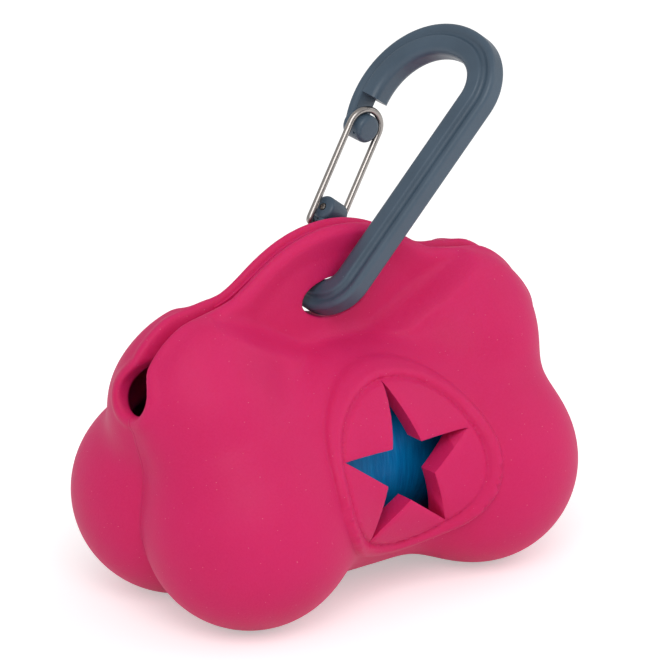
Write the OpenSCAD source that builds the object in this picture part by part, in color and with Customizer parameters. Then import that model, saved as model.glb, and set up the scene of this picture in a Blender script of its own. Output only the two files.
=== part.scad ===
// Pet waste bag dispenser: a one-piece silicone pouch that bulges into paw-like lobes,
// slit along its top edge, with a roll of bags inside and a wire-gate clip through its lips.
// Millimetres. X runs along the pouch, Y from the star panel to the back, Z up.
// The origin is the middle of the footprint, on the surface that the pouch stands on.

/* [Pouch lobes] */
// Radius of the four lower lobes
lower_lobe_r = 19; // [16:0.5:22]
// Distance of the lower lobes from the middle, along the pouch
lower_lobe_x = 26; // [22:0.5:30]
// Distance of the lower lobes from the middle, front to back
lower_lobe_y = 11; // [8:0.5:14]
// Depth of the flat that each lower lobe stands on
foot_cut = 0.4; // [0.2:0.1:1]
// Radius of the four upper lobes
upper_lobe_r = 12.1; // [10:0.1:15]
// Distance of the upper lobes from the middle, along the pouch
upper_lobe_x = 30; // [26:0.5:33]
// Distance of the upper lobes from the middle, front to back
upper_lobe_y = 4; // [2:0.5:7]
// Height of the upper lobes' centres above the lower lobes' centres
upper_lobe_rise = 20.4; // [17:0.2:24]
// Wall of the pouch
wall = 3; // [2:0.1:4]

/* [Pouch barrel] */
// Radius of the barrel's round section
barrel_r = 22.6; // [19:0.1:25]
// Half distance between the axes of the barrel's front and back
barrel_half_gap = 1.7; // [1:0.1:3]
// Radius of the barrel's bulge along the pouch
barrel_bulge_r = 50.9; // [44:0.1:60]
// Half length over which the barrel runs between the lobes
barrel_half_l = 34; // [32:0.5:35]
// Height of the barrel's middle above the lower lobes' centres
barrel_rise = 5.4; // [3:0.2:8]

/* [Lips] */
// Radius of the hump that carries the clip
hump_r = 26.4; // [24:0.1:29]
// Height of the hump's centre above the lower lobes' centres
hump_rise = 22.1; // [20:0.1:24]
// Radius of the lips' shoulders
shoulder_r = 14.9; // [13:0.1:17]
// Distance of the shoulders' centres from the middle
shoulder_x = 27.5; // [25:0.5:30]
// Height of the shoulders' centres above the lower lobes' centres
shoulder_rise = 23.1; // [21:0.1:25]
// Half thickness of both lips together at the hump
lip_half_t = 1.9; // [1.5:0.1:2.2]
// Half thickness of both lips together at the shoulders
shoulder_half_t = 7.8; // [6:0.1:9]
// Rounding of the hump's edges
hump_edge_r = 1; // [0.5:0.1:1.3]
// Rounding of the shoulders' edges
shoulder_edge_r = 4.7; // [3:0.1:5.5]
// Radius of the hollow between the hump and a shoulder
lip_hollow_r = 8; // [5:0.5:12]
// Distance from the middle at which the lips start to thicken
lip_thin_x = 11; // [10:0.5:13]
// Distance from the middle at which the lips are at full thickness
lip_full_x = 24; // [20:0.5:26]
// Gap between the closed lips
slit_gap = 0.5; // [0.4:0.1:1]
// Width of the slit's open round ends
slit_end_w = 6; // [4:0.5:7]
// Height of the round ends' centres above the lower lobes' centres
slit_end_rise = 24.5; // [22:0.5:27]
// Height over which a round end closes upwards to the slit
slit_end_taper = 9; // [6:0.5:12]
// Width of that upward taper at its foot
slit_taper_w = 5.6; // [3.6:0.1:5.8]
// Distance from the middle at which the round ends open
slit_end_x = 32; // [30:0.5:35]

/* [Clip hole] */
// Half length of the oval hole through the lips
hole_half_l = 7.3; // [6.5:0.1:8]
// Half height of the oval hole
hole_half_h = 4.4; // [4.3:0.1:5.5]
// Offset of the hole from the middle, along the pouch
hole_x = 0.4; // [-1:0.1:1]
// Height of the hole above the lower lobes' centres
hole_rise = 35.4; // [34:0.1:37]

/* [Star panel] */
// Distance from the star's centre to its tips
star_tip_r = 14.7; // [12:0.1:16]
// Height of the star's centre above the lower lobes' centres
star_rise = 8.3; // [6:0.1:10]
// Half width of the raised panel round the star
panel_half_w = 18.5; // [16:0.5:21]
// Half height of the raised panel
panel_half_h = 17.5; // [16:0.5:20]
// Height of the panel above the barrel
panel_step = 1; // [0.6:0.1:1.5]

/* [Bag roll] */
// Diameter of the roll of bags
roll_d = 32; // [26:0.5:33]
// Length of the roll of bags
roll_l = 60; // [50:1:61]
// Outer diameter of the roll's core tube
core_d = 13; // [10:0.5:16]
// Wall of the core tube
core_wall = 1; // [0.6:0.1:1.5]
// Length by which the core tube stands out of each end of the roll
core_proud = 0.5; // [0:0.1:1]
// Height of the roll's axis above the lower lobes' centres
roll_rise = 5; // [4.5:0.1:5.5]
// Gap between the roll and the bay that it turns in
roll_clearance = 0.4; // [0.3:0.1:0.8]
// Gap between each end of the core tube and the end of the bay
roll_end_gap = 0.8; // [0.5:0.1:2]
// Gap between the core tube and the film wound on it
wind_clearance = 0.05; // [0.03:0.01:0.1]

/* [Clip frame] */
// Lean of the clip from upright, along the pouch
clip_lean = 37.3; // [25:0.1:50]
// Turn of the clip about its own long axis
clip_twist = 5; // [0:0.5:6]
// Tilt of the clip within its own plane
clip_tilt = -2.3; // [-4:0.1:0]
// Distance of the clip's rod from the hole's centre, along the pouch
rod_offset_x = -2.4; // [-2.6:0.1:0]
// Distance of the clip's rod from the hole's centre, upwards
rod_offset_z = -0.4; // [-0.7:0.1:0.5]
// Width of the frame's rod, in the plane of the clip
rod_w = 6.06; // [5:0.02:6.2]
// Thickness of the frame's rod
rod_t = 5; // [4:0.1:5.4]
// Width of the narrower band along the rod's outer side
band_w = 1.5; // [1:0.1:2]
// Step from the rod's face down to the narrower band
band_step = 0.6; // [0.3:0.1:0.9]
// Radius of the rod's rounded corners
rod_corner_r = 0.8; // [0.4:0.1:1]
// Centre-line radius of the lower bend
low_bend_r = 6.1; // [6:0.1:7]
// Outward lean of the long straight side
spine_flare = 6; // [3:0.5:8]
// Length of the long straight side
spine_l = 38.5; // [36:0.5:44]
// Centre-line radius of the top bend's tighter part
top_bend_r = 7.9; // [7:0.1:9]
// Turn of the top bend's tighter part
top_bend_turn = 86; // [80:1:95]
// Centre-line radius of the bend that ends in the nose
nose_bend_r = 14.3; // [13:0.1:16]

/* [Clip nose and hinge] */
// Height of the nose's lower end above the lower bend's centre
nose_end_b = 22.7; // [21:0.1:24]
// Height of the notch's upper face above the lower bend's centre
notch_top_b = 30.5; // [30.3:0.1:31.5]
// Depth of the notch from the rod's inner side
notch_depth = 3; // [2.9:0.1:3.2]
// Depth by which the nose's finger is set back from the rod's inner side
finger_set_back = 1.2; // [0.8:0.1:1.5]
// Height of the hinge hole above the lower bend's centre
hinge_b = 8.5; // [7.5:0.1:9.5]
// Distance of the hinge hole from the lower bend's centre, across the clip
hinge_a = 7.3; // [6.8:0.1:7.8]
// Radius of the hinge boss's rounded top
boss_r = 2.3; // [2:0.1:2.8]
// Distance from the hinge hole down to the slot for the wire's other end
second_pin_drop = 3.5; // [3.2:0.1:3.8]
// Distance of that slot from the hinge hole, outwards
second_pin_out = 0.35; // [0:0.05:0.5]
// Depth of that slot in the boss's side
second_pin_depth = 1.5; // [1:0.1:1.8]
// Outward lean of the short straight side
gate_side_flare = 3; // [1:0.5:5]

/* [Wire gate] */
// Diameter of the wire
wire_d = 1.25; // [1.1:0.01:1.4]
// Distance between the centres of the two legs
leg_spacing = 7; // [6.8:0.1:7.6]
// Height of the loop's round end above the lower bend's centre
loop_centre_b = 24.9; // [24.5:0.1:25.3]
// Distance of the loop's round end from the lower bend's centre, across the clip
loop_a = 10.6; // [10.4:0.1:11]
// Turn of the loop about its legs
loop_twist = 8; // [0:1:12]
// Radial gap between the wire and its hinge hole
pin_clearance = 0.06; // [0.03:0.01:0.1]
// Angle by which the gate swings open
gate_travel = 26; // [20:1:30]

/* [Hidden] */
$fn = 64;

// Colours
silicone_pink = [0.84, 0.2, 0.42];
slate_grey = [0.29, 0.36, 0.42];
wire_steel = [0.75, 0.74, 0.73];
film_blue = [0.02, 0.38, 0.57];
card_grey = [0.68, 0.61, 0.5];

// Heights of the pouch's forms, measured from the surface it stands on
lower_lobe_z = lower_lobe_r - foot_cut;
upper_lobe_z = lower_lobe_z + upper_lobe_rise;
barrel_z = lower_lobe_z + barrel_rise;
hump_z = lower_lobe_z + hump_rise;
shoulder_z = lower_lobe_z + shoulder_rise;
slit_end_z = lower_lobe_z + slit_end_rise;
hole_z = lower_lobe_z + hole_rise;
star_z = lower_lobe_z + star_rise;

roll_z = lower_lobe_z + roll_rise;
half_turn = 180;

// The clip's own plane: a points from the gate to the long side, b up along the clip.
// Its origin is the centre of the lower bend.
swing_x = hole_x + rod_offset_x;
swing_z = hole_z + rod_offset_z;
rod_half_w = rod_w / 2;
rod_half_t = rod_t / 2;
band_half_t = rod_half_t - band_step;
spine_start = low_bend_r * [cos(spine_flare), -sin(spine_flare)];
spine_dir = [sin(spine_flare), cos(spine_flare)];
spine_end = spine_start + spine_l * spine_dir;
top_centre = spine_end - top_bend_r * [cos(spine_flare), -sin(spine_flare)];
nose_start_angle = top_bend_turn - spine_flare;
nose_centre = top_centre
    - (nose_bend_r - top_bend_r) * [cos(nose_start_angle), sin(nose_start_angle)];
nose_in_r = nose_bend_r - rod_half_w;
nose_out_r = nose_bend_r + rod_half_w;
nose_end_angle = half_turn + asin((nose_centre[1] - nose_end_b) / nose_in_r);
gate_side_start = low_bend_r * [-cos(gate_side_flare), -sin(gate_side_flare)];
gate_side_dir = [-sin(gate_side_flare), cos(gate_side_flare)];
hinge = [-hinge_a, hinge_b];
second_pin = hinge + [-second_pin_out, -second_pin_drop];
slot_overrun = 3;
seam_step = 0.01;
seam_turn = 2;
nose_spare_turn = 20;
boss_foot_overlap = 0.5;
boss_ledge = 0.05;

// Wire gate, in the clip's plane
wire_r = wire_d / 2;
leg_half_spacing = leg_spacing / 2;
loop_centre = [-loop_a, loop_centre_b];
pin_end_gap = 0.2;
wire_corner_swell = 0.02;
notch_wire_gap = 0.25;

// Overlap with which cuts pass through a surface
over = 1;
far_out = 200;

module star() {
    inner_r = star_tip_r * sin(18) / sin(54);
    polygon([for (i = [0:9]) (i % 2 == 0 ? star_tip_r : inner_r) * [sin(i * 36), cos(i * 36)]]);
}

// Something flat in X and Z, raised along Y from the first depth to the second
module along_y(from, to) {
    translate([0, to, 0]) rotate([90, 0, 0]) linear_extrude(to - from) children();
}

// Round disc of the lips, upright along the pouch, with rounded edges
module lip_disc(x, z, r, half_t, edge_r) {
    translate([x, 0, z]) rotate([90, 0, 0]) rotate_extrude($fn = 96) {
        translate([0, -half_t]) square([r - edge_r, 2 * half_t]);
        translate([0, edge_r - half_t]) square([r, 2 * (half_t - edge_r)]);
        for (side = [-1, 1])
            translate([r - edge_r, side * (half_t - edge_r)]) intersection() {
                circle(r = edge_r, $fn = 32);
                translate([0, -edge_r]) square([edge_r, 2 * edge_r]);
            }
    }
}

// The hollow that joins the hump to a shoulder, as thick and rounded as the shoulder
module lip_hollow() {
    hump_centre = [0, hump_z];
    shoulder_centre = [shoulder_x, shoulder_z];
    span = norm(shoulder_centre - hump_centre);
    to_hump = hump_r + lip_hollow_r;
    to_shoulder = shoulder_r + lip_hollow_r;
    along = (to_hump * to_hump - to_shoulder * to_shoulder + span * span) / (2 * span);
    across = sqrt(to_hump * to_hump - along * along);
    dir = (shoulder_centre - hump_centre) / span;
    hollow_centre = hump_centre + along * dir + across * [-dir[1], dir[0]];
    half_t = shoulder_half_t - seam_step;
    cut_r = lip_hollow_r + seam_step;
    difference() {
        along_y(-half_t, half_t) polygon([hump_centre, hollow_centre, shoulder_centre]);
        translate([hollow_centre[0], 0, hollow_centre[1]]) rotate([90, 0, 0]) rotate_extrude()
            difference() {
                translate([0, -half_t - over]) square([cut_r + shoulder_edge_r, 2 * (half_t + over)]);
                translate([cut_r, shoulder_edge_r - half_t])
                    square([shoulder_edge_r + over, 2 * (half_t - shoulder_edge_r)]);
                for (side = [-1, 1])
                    translate([cut_r + shoulder_edge_r, side * (half_t - shoulder_edge_r)])
                        circle(r = shoulder_edge_r, $fn = 32);
            }
    }
}

// Plan of the lips from the hump outwards: their sides thicken along two arcs
module lip_plan() {
    rise = shoulder_half_t + seam_step - lip_half_t;
    run = lip_full_x - lip_thin_x;
    arc_r = (run * run + rise * rise) / (4 * rise);
    mid_x = (lip_thin_x + lip_full_x) / 2;
    start_half = lip_half_t - seam_step;
    for (side = [0, 1]) mirror([0, side]) {
        difference() {
            translate([lip_thin_x, -over]) square([mid_x - lip_thin_x, start_half + rise / 2 + over]);
            translate([lip_thin_x, start_half + arc_r]) circle(r = arc_r, $fn = 96);
        }
        intersection() {
            translate([mid_x, -over]) square([lip_full_x - mid_x, far_out]);
            translate([lip_full_x, start_half + rise - arc_r]) circle(r = arc_r, $fn = 96);
        }
    }
    translate([lip_full_x, -shoulder_half_t - over]) square([far_out, 2 * (shoulder_half_t + over)]);
}

module lips() {
    lip_disc(0, hump_z, hump_r, lip_half_t, hump_edge_r);
    for (side = [0, 1]) mirror([side, 0, 0]) intersection() {
        union() {
            lip_disc(shoulder_x, shoulder_z, shoulder_r, shoulder_half_t, shoulder_edge_r);
            lip_disc(0, hump_z, hump_r - seam_step, shoulder_half_t - 2 * seam_step, shoulder_edge_r);
            lip_hollow();
        }
        linear_extrude(far_out) lip_plan();
    }
}

// Slit between the lips, with a drop-shaped round end at each end of the pouch
module slit() {
    step_x = slit_end_x + over;
    deep_z = upper_lobe_z - wall;
    along_y(-slit_gap / 2, slit_gap / 2)
        polygon([[-far_out, slit_end_z], [-step_x, slit_end_z], [-step_x, deep_z],
                 [step_x, deep_z], [step_x, slit_end_z], [far_out, slit_end_z],
                 [far_out, far_out], [-far_out, far_out]]);
    for (side = [0, 1]) mirror([side, 0, 0])
        translate([slit_end_x, 0, slit_end_z]) rotate([90, 0, 90]) linear_extrude(far_out) {
            circle(d = slit_end_w);
            polygon([[-slit_taper_w / 2, 0], [slit_taper_w / 2, 0], [0, slit_end_taper]]);
        }
}

// Lengthwise half of the barrel's round body, with its surface at a depth below the outside
module barrel(side, depth) {
    end_x = barrel_half_l - depth;
    translate([0, side * barrel_half_gap, barrel_z]) rotate([0, 90, 0]) rotate_extrude() intersection() {
        translate([barrel_r - barrel_bulge_r, 0]) circle(r = barrel_bulge_r - depth, $fn = 192);
        translate([0, -end_x]) square([far_out, 2 * end_x]);
    }
}

// The lobes and the barrel together
module bulges(depth) {
    for (x = [-1, 1], y = [-1, 1]) {
        translate([x * lower_lobe_x, y * lower_lobe_y, lower_lobe_z])
            sphere(r = lower_lobe_r - depth, $fn = 96);
        translate([x * upper_lobe_x, y * upper_lobe_y, upper_lobe_z])
            sphere(r = upper_lobe_r - depth);
    }
    for (side = [-1, 1]) barrel(side, depth);
}

// Bay that the roll turns in
module roll_bay() {
    half_l = roll_l / 2 + core_proud + roll_end_gap;
    translate([-half_l, 0, roll_z]) rotate([0, 90, 0])
        cylinder(r = roll_d / 2 + roll_clearance, h = 2 * half_l, $fn = 96);
}

// The star's raised panel: the barrel's front again, larger, cut to an oval
module star_panel() {
    intersection() {
        barrel(-1, -panel_step);
        along_y(-far_out / 4, -barrel_r / 2) translate([0, star_z])
            scale([panel_half_w / panel_half_h, 1]) circle(r = panel_half_h);
    }
}

module silicone_pouch() {
    color(silicone_pink) difference() {
        union() {
            bulges(0);
            lips();
            star_panel();
        }
        bulges(wall);
        roll_bay();
        slit();
        along_y(-far_out / 2, far_out / 2) translate([hole_x, hole_z])
            scale([hole_half_l / hole_half_h, 1]) circle(r = hole_half_h);
        along_y(-far_out / 4, -lower_lobe_y) translate([0, star_z]) star();
        translate([-far_out / 2, -far_out / 2, -far_out]) cube([far_out, far_out, far_out]);
    }
}

// Section of the clip's rod: x runs outwards, y through its thickness.
// A stretch that takes in the ends of its neighbours is larger by the seam step.
module rod_section(grow) {
    block_end = rod_half_w - band_w + grow;
    rounded_box([-rod_half_w - grow, block_end], rod_half_t + grow);
    rounded_box([-rod_half_w - grow, rod_half_w + grow], band_half_t + grow);
}

module rounded_box(span, half_t) {
    c = rod_corner_r;
    translate([span[0], -half_t + c]) square([span[1] - span[0], 2 * half_t - 2 * c]);
    translate([span[0] + c, -half_t]) square([span[1] - span[0] - 2 * c, 2 * half_t]);
    for (x = [span[0] + c, span[1] - c], y = [-half_t + c, half_t - c])
        translate([x, y]) circle(r = c, $fn = 24);
}

// A bend of the rod about a point of the clip's plane
module rod_bend(centre, r, from, turn, grow = 0) {
    translate([centre[0], centre[1], 0]) rotate([0, 0, from]) rotate_extrude(angle = turn)
        translate([r, 0]) rod_section(grow);
}

// Turns the clip's plane, with the lower bend at its origin, to where the clip leans
module place_clip() {
    translate([swing_x, 0, swing_z]) rotate([0, clip_lean, 0]) translate([0, 0, low_bend_r])
        rotate([90, 0, -90]) rotate([0, clip_twist, 0]) rotate([0, 0, clip_tilt]) children();
}

module nose_cuts() {
    block = nose_out_r + over;
    // below the nose's end
    translate([nose_centre[0] - block, nose_end_b - block, -rod_t])
        cube([2 * block, block, 2 * rod_t]);
    // set-back of the finger below the notch
    intersection() {
        translate([nose_centre[0], nose_centre[1], -rod_t])
            cylinder(r = nose_in_r + finger_set_back, h = 2 * rod_t);
        translate([nose_centre[0] - block, nose_end_b - block, -rod_t])
            cube([block, notch_top_b - nose_end_b + block, 2 * rod_t]);
    }
    // notch that takes the wire's round end
    intersection() {
        translate([nose_centre[0], nose_centre[1], -rod_t])
            cylinder(r = nose_in_r + notch_depth, h = 2 * rod_t);
        union() {
            translate([nose_centre[0] - block, loop_centre_b + leg_half_spacing, -rod_t])
                cube([block, notch_top_b - loop_centre_b - leg_half_spacing, 2 * rod_t]);
            translate([nose_centre[0] - block, loop_centre_b, 0]) rotate([0, 90, 0]) difference() {
                cylinder(r = leg_half_spacing + wire_r + notch_wire_gap, h = block);
                translate([0, 0, -over])
                    cylinder(r = leg_half_spacing - wire_r - notch_wire_gap, h = block + 2 * over);
                translate([-rod_t, -far_out, -over]) cube([2 * rod_t, far_out, block + 2 * over]);
            }
        }
    }
}

module hinge_boss() {
    across = (rod_half_w - boss_ledge) * [cos(gate_side_flare), sin(gate_side_flare)];
    foot = gate_side_start - gate_side_dir * boss_foot_overlap;
    shoulder = gate_side_start + gate_side_dir * rod_half_w;
    top_side = boss_r * [1, 0];
    difference() {
        translate([0, 0, seam_step - rod_half_t]) linear_extrude(rod_t - 2 * seam_step) {
            polygon([foot - across, foot + across, shoulder + across,
                     hinge + top_side, hinge - top_side, shoulder - across]);
            translate(hinge) circle(r = boss_r);
        }
        translate([hinge[0], hinge[1], 0])
            cylinder(r = wire_r + pin_clearance, h = rod_t + over, center = true);
        // arc slot for the wire's second end, which swings about the hinge hole
        second_pin_slot();
    }
}

module second_pin_slot() {
    offset_from_hinge = second_pin - hinge;
    swing_r = norm(offset_from_hinge);
    start = atan2(offset_from_hinge[1], offset_from_hinge[0]);
    half_w = wire_r + pin_clearance;
    translate([hinge[0], hinge[1], rod_half_t - second_pin_depth]) {
        rotate([0, 0, start - gate_travel - slot_overrun])
            rotate_extrude(angle = gate_travel + 2 * slot_overrun)
            translate([swing_r - half_w, 0]) square([2 * half_w, second_pin_depth + over]);
        for (turn = [-gate_travel - slot_overrun, slot_overrun])
            rotate([0, 0, start + turn]) translate([swing_r, 0, 0])
                cylinder(r = half_w, h = second_pin_depth + over);
    }
}

module clip_frame() {
    color(slate_grey) place_clip() {
        rod_bend([0, 0], low_bend_r, half_turn + gate_side_flare,
                 half_turn - gate_side_flare - spine_flare + seam_turn);
        translate([spine_start[0], spine_start[1], 0]) rotate([0, 0, -spine_flare])
            rotate([-90, 0, 0]) linear_extrude(spine_l) rod_section(seam_step);
        rod_bend(top_centre, top_bend_r, -spine_flare - seam_turn, top_bend_turn + 2 * seam_turn);
        difference() {
            rod_bend(nose_centre, nose_bend_r, nose_start_angle,
                     nose_end_angle - nose_start_angle + nose_spare_turn, seam_step);
            nose_cuts();
        }
        hinge_boss();
    }
}

// A straight stretch of wire, with the rounded corner that it starts from
module wire_stretch(from, to) {
    run = to - from;
    length = norm(run);
    translate(from) {
        rotate([0, acos(run.z / length), atan2(run.y, run.x)])
            cylinder(r = wire_r, h = length, $fn = 32);
        sphere(r = wire_r + wire_corner_swell, $fn = 32);
    }
}

module wire_gate() {
    loop_end = [for (side = [-1, 1])
        [loop_centre[0] - side * leg_half_spacing * sin(loop_twist), loop_centre[1],
         side * leg_half_spacing * cos(loop_twist)]];
    pin_in = rod_half_t - second_pin_depth + pin_end_gap;
    pin_out = rod_half_t - pin_end_gap;
    color(wire_steel) place_clip() {
        // round end of the loop
        translate([loop_centre[0], loop_centre[1], 0]) rotate([0, -loop_twist, 0])
            rotate([0, -90, 0]) rotate_extrude(angle = half_turn)
            translate([leg_half_spacing, 0]) circle(r = wire_r, $fn = 32);
        // far leg, whose end crosses the whole boss and is the hinge pin
        wire_stretch(loop_end[0], [hinge[0], hinge[1], -leg_half_spacing]);
        wire_stretch([hinge[0], hinge[1], -leg_half_spacing], [hinge[0], hinge[1], pin_out]);
        // near leg, whose short end sits in the slot
        wire_stretch(loop_end[1], [second_pin[0], second_pin[1], leg_half_spacing]);
        wire_stretch([second_pin[0], second_pin[1], leg_half_spacing],
                     [second_pin[0], second_pin[1], pin_in]);
    }
}

module tube_along_x(outer_d, inner_d, length) {
    translate([0, 0, roll_z]) rotate([0, 90, 0]) difference() {
        cylinder(d = outer_d, h = length, center = true);
        cylinder(d = inner_d, h = length + 2 * over, center = true);
    }
}

module roll_core() {
    color(card_grey) tube_along_x(core_d, core_d - 2 * core_wall, roll_l + 2 * core_proud);
}

module bag_roll() {
    color(film_blue) tube_along_x(roll_d, core_d + 2 * wind_clearance, roll_l);
}

silicone_pouch();
clip_frame();
wire_gate();
roll_core();
bag_roll();
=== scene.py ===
"""Looks of the bag dispenser: a lobed silicone pouch, a snap clip with a wire gate, and the roll of bags."""

import math

import bpy
import numpy as np
from mathutils import Matrix, Vector


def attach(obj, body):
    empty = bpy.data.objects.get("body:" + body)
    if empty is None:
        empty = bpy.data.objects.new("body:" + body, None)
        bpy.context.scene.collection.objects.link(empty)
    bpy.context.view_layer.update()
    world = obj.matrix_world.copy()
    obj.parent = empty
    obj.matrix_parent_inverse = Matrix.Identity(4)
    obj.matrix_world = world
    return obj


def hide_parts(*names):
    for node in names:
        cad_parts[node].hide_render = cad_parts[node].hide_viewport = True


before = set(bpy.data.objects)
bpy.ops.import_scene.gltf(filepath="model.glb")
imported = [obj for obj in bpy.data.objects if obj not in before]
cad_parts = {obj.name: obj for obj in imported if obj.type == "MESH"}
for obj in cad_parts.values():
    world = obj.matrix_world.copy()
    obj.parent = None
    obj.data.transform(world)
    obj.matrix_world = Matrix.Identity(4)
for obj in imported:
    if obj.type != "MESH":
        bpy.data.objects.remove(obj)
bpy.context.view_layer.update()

MM = 0.001

# ---------------------------------------------------------------- sizes
# Millimetres and degrees, as in the part, from the floor under the pouch's middle. Apart from the clip's hole
# and the panel, the pouch is the same on the left and the right, so x stands for either side.

# Lobes: x, y and z of the centre, then the radius
LOWER_LOBE = (26.0, 11.0, 18.6, 19.0)
UPPER_LOBE = (30.0, 4.0, 39.0, 12.1)
# Lying barrel between the lobes: half sizes, and height of the centre
BARREL_HALF = (35.9, 24.3, 22.6)
BARREL_Z = 24.0
# Blend between all of these, and the wall round the hollow
BLEND = 2.7
WALL = 3.0

# Lips from the front: z and radius of the hump's circle; x, z and radius of the shoulder's circle
HUMP = (40.7, 26.4)
SHOULDER = (27.5, 41.5, 14.2)
OUTLINE_BLEND = 3.6
# Half thickness of the lips: round the clip's hole, at the rim, at the shoulder
LIP_HALF = (2.2, 3.1, 7.8)
# The rim starts this far inside the outline and thickens over this run
RIM_START = 6.0
RIM_RUN = 5.0
# The shoulders start at this x at this z, further out the higher, within limits, and thicken over this run
SWELL_X = 9.0
SWELL_Z = 48.0
SWELL_SLOPE = 1.8
SWELL_LIMITS = (5.0, 22.0)
SWELL_RUN = 9.0
# Edge rounding of the lips, as a share of their half thickness
LIP_ROUNDING = 0.6

# Slit between the lips: half widths, and the x where each is reached
SLIT_HALF = (0.06, 0.5, 0.9)
SLIT_WIDENS = (16.0, 25.0, 34.0)
# Floor of the slit, and how it steps up towards the ends
SLIT_FLOOR = 36.0
SLIT_FLOOR_RISE = 7.0
SLIT_RISE_X = 31.0
SLIT_RISE_RUN = 2.0
# Drop-shaped open end: z of the round part's centre, its radius, height of the point above it, least x
DROP = (44.2, 4.0, 8.0)
DROP_X = 32.0
# Hollow close behind the drop: centre and half sizes
POCKET = (32.6, 0.0, 41.8)
POCKET_HALF = (10.2, 8.0, 7.0)
# Bead round the drop: distance outside its edge and below the skin, girth, and the x where it fades in
BEAD_OUT = 1.2
BEAD_DOWN = 1.0
BEAD_GIRTH = 1.7
BEAD_X = 26.0
BEAD_RUN = 9.0

# Soft furrow over the slit: how much wider it is at the surface, its depth, and its least half width
FURROW_WIDTH = 1.0
FURROW_DEPTH = 2.2
FURROW_LEAST = 0.42
FURROW_CURVE = 1.5
# It runs out below this z, within this run
FURROW_END = 46.0
FURROW_FADE = 4.0

# Foot of the lips: tight blend under the clip's hole, and the x between which it widens to BLEND
TAB_BLEND = 1.1
TAB_BLEND_X = (11.0, 22.0)
# Valley round that foot: x and z of its knots, depth, width, and its distance from the middle plane
TAB_VALLEY = ((-27.0, 56.5), (-18.4, 53.4), (-6.8, 47.9), (6.0, 47.9), (17.8, 52.3), (27.0, 57.5))
VALLEY_DEPTH = 1.3
VALLEY_WIDTH = 1.7
VALLEY_Y = 2.5
# Hole for the clip: x and z of the centre, half width, half height
HOLE = (0.4, 53.65, 7.3, 3.75)

# Star: z of its centre, and distance of its points and of its inner corners from there
STAR_Z = 26.9
STAR_TIP = 14.7
STAR_INNER = STAR_TIP * math.sin(math.radians(18)) / math.sin(math.radians(54))
# Soft dip of the panel towards the star's edge: depth and reach
STAR_EASE = 0.3
STAR_EASE_REACH = 0.8
# Raised panel on the front: x and z of the centre, half width, half height
PANEL = (0.4, STAR_Z, 18.4, 17.6)
PANEL_STEP = 0.95
PANEL_Y = -5.0
# Distance given to points behind PANEL_Y, where there is no panel
FAR_OFF = 9.0
# Rim along the panel's edge and crease inside it: height, distance from the edge, width
PANEL_RIM = (0.42, 1.3, 0.8)
PANEL_CREASE = (0.5, 2.8, 0.35)

# Radii of the remaining edges and blends
BEAD_BLEND = 0.4
FURROW_ROUND = 0.5
PANEL_ROUND = 0.5
PANEL_BLEND = 0.2
FOOT_ROUND = 0.6
POCKET_BLEND = 1.0
HOLE_ROUND = 0.35
DROP_ROUND = 0.6
INSIDE_ROUND = 0.4

# Cuts through the pouch: x where the middle and the outer slit cuts end, the outer cut's floor and the top of
# both, how long the hole's and the drops' cutters are, and where the star's starts and ends
MIDDLE_CUT_X = 25.6
OUTER_CUT_X = 46.0
OUTER_CUT_FLOOR = 43.1
ABOVE_POUCH = 80.0
HOLE_CUT_DEPTH = 60.0
DROP_CUT_DEPTH = 26.0
STAR_CUT_Y = (-32.0, -10.0)
POUCH_TRIANGLES = 180000

# Where the clip hangs in its hole: x and z, and how it leans, twists and tilts from upright
SWING = (-2.0, 53.6)
CLIP_LEAN = 37.3
CLIP_TWIST = 5.0
CLIP_TILT = -2.3
# The clip's middle line in its own plane, whose origin is the centre of the low bend: the bends' radii, the
# spine's length and outward lean, the turn of the top bend, and the angle where the nose's bend ends
LOW_BEND_R = 6.1
TOP_BEND_R = 7.9
NOSE_BEND_R = 14.3
SPINE_L = 38.5
SPINE_FLARE = 6.0
TOP_BEND_TURN = 86.0
NOSE_END_TURN = 222.0
# Short straight side up to the hinge: its lean, its upper end, and its outward direction
GATE_SIDE_FLARE = 3.0
GATE_SIDE_TOP = (-6.45, 6.6)
GATE_SIDE_OUT = (-1.0, -0.05)
# Section of the bar: offset outwards, half sizes and corner radius of its crown and of its outer band
CROWN = (-0.83, 2.2, 2.5, 1.6)
BAND = (1.95, 1.08, 1.95, 0.9)
SECTION_BLEND = 0.25
SECTION_ROUND = 0.4
# Groove between them: its place outwards and across, and its radius
GROOVE = (1.15, 2.2, 0.62)
# Nose: height where its full section ends, height of its tip, and inner radius of the finger in between
NOSE_FULL_END = 30.5
NOSE_TIP = 22.9
NOSE_IN_R = 14.8
# Peg that the wire hooks over: its height, its radius, and where it starts and ends across the clip
PEG_HEIGHT = 24.9
PEG_R = 2.6
PEG_RUN = (-14.0, -9.2)
PEG_ROUND = 0.8
# Hinge boss: centre, radius, half depth
HINGE = (-7.3, 8.5)
BOSS_R = 2.3
BOSS_HALF = 2.49
BOSS_ROUND = 0.7
PIN_HOLE_R = 0.72
# Slot for the wire's second end: angles from the end's place at rest, floor, half width
SLOT_TURN = (-30.0, 4.0)
SLOT_FLOOR = 0.95
SLOT_HALF = 0.76
SLOT_DEPTH = 3.0
# Cutters: their reach past the clip's faces, sides and top, their depth through it, and where they stop short
PAST_FACE = 6.0
PAST_SIDE = 20.0
PAST_TOP = 60.0
THROUGH_CLIP = 8.0
NOTCH_SIDE = -2.0
TIP_CUT_LOW = 14.0
TIP_CUT_SIDE = -5.0

# Wire: diameter, middle of its top bend, half distance of its legs, twist, and how far its ends go in
WIRE_D = 1.25
LOOP_TOP = (-10.6, PEG_HEIGHT)
LEG_HALF = 3.5
LOOP_TWIST = 8.0
SECOND_PIN = (-7.65, 5.0)
PIN_ENDS = (2.62, 1.2)
WIRE_STEP = 0.16
WIRE_EASING = 16

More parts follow.
